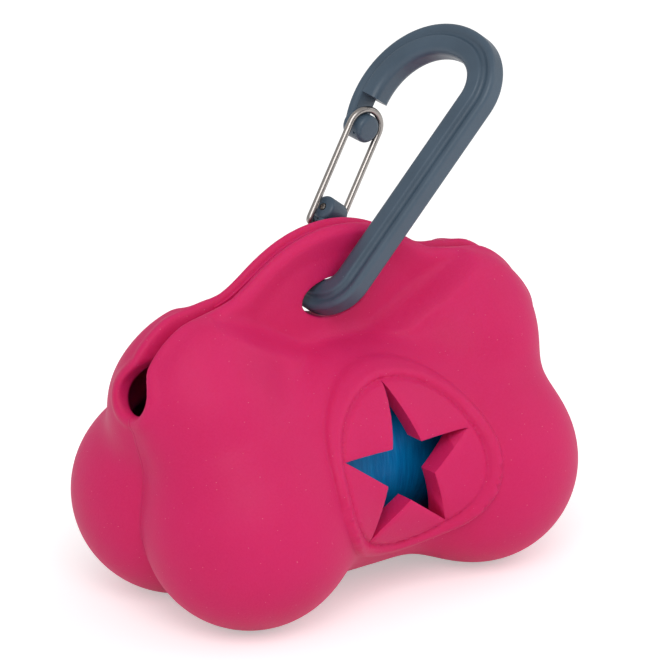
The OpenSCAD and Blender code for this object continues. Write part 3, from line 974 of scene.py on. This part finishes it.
def grain_group():
    """Fine even grain, with a broad cloudiness under it."""
    group, given, result = new_group(
        "fine_grain",
        [("Vector", "NodeSocketVector", None), ("Grains per metre", "NodeSocketFloat", 3000.0),
         ("Clouds per metre", "NodeSocketFloat", 60.0)],
        [("Grain", "NodeSocketFloat"), ("Cloud", "NodeSocketFloat")])
    for label, rate, detail in (("Grain", "Grains per metre", 2.0), ("Cloud", "Clouds per metre", 4.0)):
        noise = node(group, "ShaderNodeTexNoise", in_Detail=detail, in_Roughness=0.55)
        group.links.new(given.outputs["Vector"], noise.inputs["Vector"])
        group.links.new(given.outputs[rate], noise.inputs["Scale"])
        group.links.new(from_to(group, noise.outputs["Fac"], 0.25, 0.75), result.inputs[label])
    return group


def placed_group(tree, group, place, **values):
    """The outputs of a shared group, at this place and with these values."""
    made = node(tree, "ShaderNodeGroup", node_tree=group)
    tree.links.new(place, made.inputs["Vector"])
    for key, value in values.items():
        made.inputs[key.replace("_", " ")].default_value = value
    return made.outputs


def material(name, roughness):
    """A new material with its node tree, its shader and the place on the object in metres."""
    made = bpy.data.materials.new(name)
    made.use_nodes = True
    tree = made.node_tree
    shader = tree.nodes["Principled BSDF"]
    shader.inputs["Roughness"].default_value = roughness
    place = node(tree, "ShaderNodeTexCoord").outputs["Object"]
    return made, tree, shader, place


def stretched(tree, place, scale, turn=(0, 0, 0)):
    """The place with its axes turned, and drawn out where the scale is under 1."""
    made = node(tree, "ShaderNodeMapping", in_Scale=scale,
                in_Rotation=tuple(math.radians(t) for t in turn))
    tree.links.new(place, made.inputs["Vector"])
    return made.outputs["Vector"]


def bumped(tree, shader, height, distance, strength):
    """Bump up to this many millimetres high."""
    bump = node(tree, "ShaderNodeBump", in_Strength=strength, in_Distance=distance * MM)
    tree.links.new(height, bump.inputs["Height"])
    tree.links.new(bump.outputs["Normal"], shader.inputs["Normal"])


def parting_line(tree, place):
    """Thin raised line that the mould leaves round the pouch's ends and underside."""
    axes = node(tree, "ShaderNodeSeparateXYZ")
    tree.links.new(place, axes.inputs["Vector"])
    off = number_step(tree, "ABSOLUTE", axes.outputs["Y"], 0.0)
    line = from_to(tree, off, 0.28 * MM, 0.08 * MM)
    below_slit = from_to(tree, axes.outputs["Z"], 41.0 * MM, 39.5 * MM)
    return number_step(tree, "MULTIPLY", line, below_slit)


def dress(piece, mat):
    """Gives the piece this material alone."""
    piece.data.materials.clear()
    piece.data.materials.append(mat)


# ---------------------------------------------------------------- materials

def make_silicone(dust, grain):
    """Pink silicone: softly lit through, dull, faintly cloudy, with dust on it and a mould line."""
    mat, tree, shader, place = material("silicone_pink", 0.56)
    fine = placed_group(tree, grain, place, Grains_per_metre=2600.0, Clouds_per_metre=45.0)
    specks = placed_group(tree, dust, place, Specks_per_metre=1000.0, Share=0.14)["Mask"]
    line = parting_line(tree, place)
    base = blend_colours(tree, fine["Cloud"], srgb(209, 26, 94), srgb(218, 35, 104))
    base = tinted(tree, base, fine["Grain"], 0.22, srgb(224, 52, 118))
    base = tinted(tree, base, specks, 0.5, srgb(236, 140, 172))
    base = tinted(tree, base, line, 0.2, srgb(190, 28, 84))
    surface(tree, shader, base, fine["Cloud"], 0.5, 0.62)
    height = number_step(tree, "ADD", from_to(tree, fine["Grain"], 0, 1, 0.0, 0.25),
                         number_step(tree, "MULTIPLY", line, 0.8))
    height = number_step(tree, "ADD", height, number_step(tree, "MULTIPLY", specks, 0.35))
    bumped(tree, shader, height, distance=0.12, strength=0.8)
    shader.inputs["Specular IOR Level"].default_value = 0.25
    shader.inputs["Subsurface Weight"].default_value = 0.35
    shader.inputs["Subsurface Radius"].default_value = (1.0, 0.1, 0.3)
    shader.inputs["Subsurface Scale"].default_value = 1.6 * MM
    return mat


def make_clip_plastic(dust, grain):
    """Slate-grey moulded plastic with a slight shine and little dust."""
    mat, tree, shader, place = material("slate_plastic", 0.4)
    fine = placed_group(tree, grain, place, Grains_per_metre=4200.0, Clouds_per_metre=120.0)
    specks = placed_group(tree, dust, place, Specks_per_metre=900.0, Share=0.05)["Mask"]
    base = blend_colours(tree, fine["Cloud"], srgb(62, 80, 96), srgb(72, 91, 108))
    base = tinted(tree, base, specks, 0.4, srgb(140, 152, 160))
    surface(tree, shader, base, fine["Cloud"], 0.34, 0.46)
    bumped(tree, shader, fine["Grain"], distance=0.02, strength=0.6)
    return mat


def make_steel(grain):
    """Drawn steel wire, streaked along its legs."""
    mat, tree, shader, place = material("polished_wire", 0.3)
    drawn = stretched(tree, place, (1, 1, 0.12), (0, -37, 0))
    fine = placed_group(tree, grain, drawn, Grains_per_metre=1600.0, Clouds_per_metre=140.0)
    base = blend_colours(tree, fine["Cloud"], srgb(150, 145, 142), srgb(178, 172, 167))
    surface(tree, shader, base, fine["Grain"], 0.25, 0.34)
    shader.inputs["Metallic"].default_value = 1.0
    return mat


def make_film(grain):
    """Blue bag film, lightly streaked round the roll."""
    mat, tree, shader, place = material("blue_film", 0.4)
    folds = stretched(tree, place, (1.0, 0.14, 0.14))
    fine = placed_group(tree, grain, folds, Grains_per_metre=900.0, Clouds_per_metre=160.0)
    shade = placed_group(tree, grain, place, Grains_per_metre=5000.0, Clouds_per_metre=90.0)
    base = blend_colours(tree, fine["Grain"], srgb(0, 124, 200), srgb(0, 156, 230))
    base = tinted(tree, base, fine["Cloud"], 0.35, srgb(0, 96, 158))
    surface(tree, shader, base, shade["Cloud"], 0.34, 0.5)
    shader.inputs["Specular IOR Level"].default_value = 0.25
    height = number_step(tree, "ADD", fine["Grain"], number_step(tree, "MULTIPLY", shade["Grain"], 0.15))
    bumped(tree, shader, height, distance=0.12, strength=0.7)
    return mat


def make_card(grain):
    """Brown card of the roll's core, with its fibres along the tube."""
    mat, tree, shader, place = material("core_card", 0.8)
    fibres = stretched(tree, place, (0.3, 1, 1))
    fine = placed_group(tree, grain, fibres, Grains_per_metre=3200.0, Clouds_per_metre=220.0)
    base = blend_colours(tree, fine["Grain"], srgb(160, 142, 114), srgb(184, 168, 140))
    base = tinted(tree, base, fine["Cloud"], 0.35, srgb(146, 128, 100))
    surface(tree, shader, base, fine["Grain"], 0.74, 0.9)
    bumped(tree, shader, fine["Grain"], distance=0.06, strength=0.8)
    return mat


# ---------------------------------------------------------------- assembly

def stand_in_for(piece, body, cad_node, mat, angle):
    """Shades and dresses a piece, lets it ride on its body, and puts it in its CAD node's place."""
    smooth_shade(piece, angle)
    dress(piece, mat)
    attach(piece, body)
    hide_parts(cad_node)


dust = dust_group()
grain = grain_group()
stand_in_for(make_pouch(), "pouch", "silicone_pouch", make_silicone(dust, grain), angle=50)
stand_in_for(make_wire(), "gate", "wire_gate", make_steel(grain), angle=50)
stand_in_for(make_roll(), "roll", "bag_roll", make_film(grain), angle=40)
stand_in_for(make_clip(), "clip", "clip_frame", make_clip_plastic(dust, grain), angle=35)
dress(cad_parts["roll_core"], make_card(grain))


# ---------------------------------------------------------------- stage
# Metres, degrees and watts. At a strength of 1 the camera sees white.

WHITE = (1, 1, 1, 1)
FLOOR_SIZE = 8.0
FLOOR_DROP = 0.0002
FLOOR_GREY = (0.9, 0.9, 0.9, 1)
FLOOR_LIFT = 0.42
SKY = 0.58
LAMPS_AIM = (0, 0, 0.04)
KEY_LAMP = {"place": (-0.55, -0.75, 0.95), "size": 0.7, "power": 5.9}
FILL_LAMP = {"place": (0.9, -0.6, 0.7), "size": 0.9, "power": 2.2}
CAMERA_PLACE = (-0.6876, -0.8811, 0.4672)
CAMERA_DOWN = 20.65
CAMERA_TURN = -38.03
CAMERA_LENS = 357.3
SENSOR_WIDTH = 36.0


def make_floor():
    """White floor: plain where it is lit, and still shaded under the object."""
    bpy.ops.object.select_all(action="DESELECT")
    bpy.ops.mesh.primitive_plane_add(size=FLOOR_SIZE, location=(0, 0, -FLOOR_DROP))
    floor = placed("floor")
    mat, tree, shader, _ = material("floor_white", 0.9)
    shader.inputs["Base Color"].default_value = FLOOR_GREY
    shader.inputs["Specular IOR Level"].default_value = 0.0
    shader.inputs["Emission Color"].default_value = WHITE
    rays = node(tree, "ShaderNodeLightPath")
    mirrored = number_step(tree, "MAXIMUM", rays.outputs["Is Glossy Ray"],
                           rays.outputs["Is Transmission Ray"])
    seen = number_step(tree, "MAXIMUM", rays.outputs["Is Camera Ray"], mirrored)
    tree.links.new(number_step(tree, "MULTIPLY", seen, FLOOR_LIFT), shader.inputs["Emission Strength"])
    dress(floor, mat)


def make_sky():
    """Even light from all round, seen as white by the camera."""
    world = bpy.data.worlds.new("studio")
    bpy.context.scene.world = world
    world.use_nodes = True
    sky = world.node_tree
    rays = node(sky, "ShaderNodeLightPath")
    seen = number_step(sky, "MAXIMUM", rays.outputs["Is Camera Ray"], rays.outputs["Is Transmission Ray"])
    background = sky.nodes["Background"]
    background.inputs["Color"].default_value = WHITE
    sky.links.new(from_to(sky, seen, 0, 1, SKY, 1.0), background.inputs["Strength"])


def make_lamp(name, place, size, power):
    """A soft square lamp that shines on the object."""
    light = bpy.data.lights.new(name, "AREA")
    light.size = size
    light.energy = power
    lamp = add_object(name, light)
    lamp.location = place
    lamp.rotation_euler = (Vector(LAMPS_AIM) - Vector(place)).to_track_quat("-Z", "Y").to_euler()


def make_camera():
    """The camera at the photograph's viewing angle."""
    data = bpy.data.cameras.new("camera")
    data.lens = CAMERA_LENS
    data.sensor_width = SENSOR_WIDTH
    data.clip_start = 0.05
    camera = add_object("camera", data)
    camera.location = CAMERA_PLACE
    camera.rotation_euler = (math.radians(90 - CAMERA_DOWN), 0, math.radians(CAMERA_TURN))
    bpy.context.scene.camera = camera


make_floor()
make_sky()
make_lamp("key", **KEY_LAMP)
make_lamp("fill", **FILL_LAMP)
make_camera()
bpy.context.scene.view_settings.view_transform = "Standard"
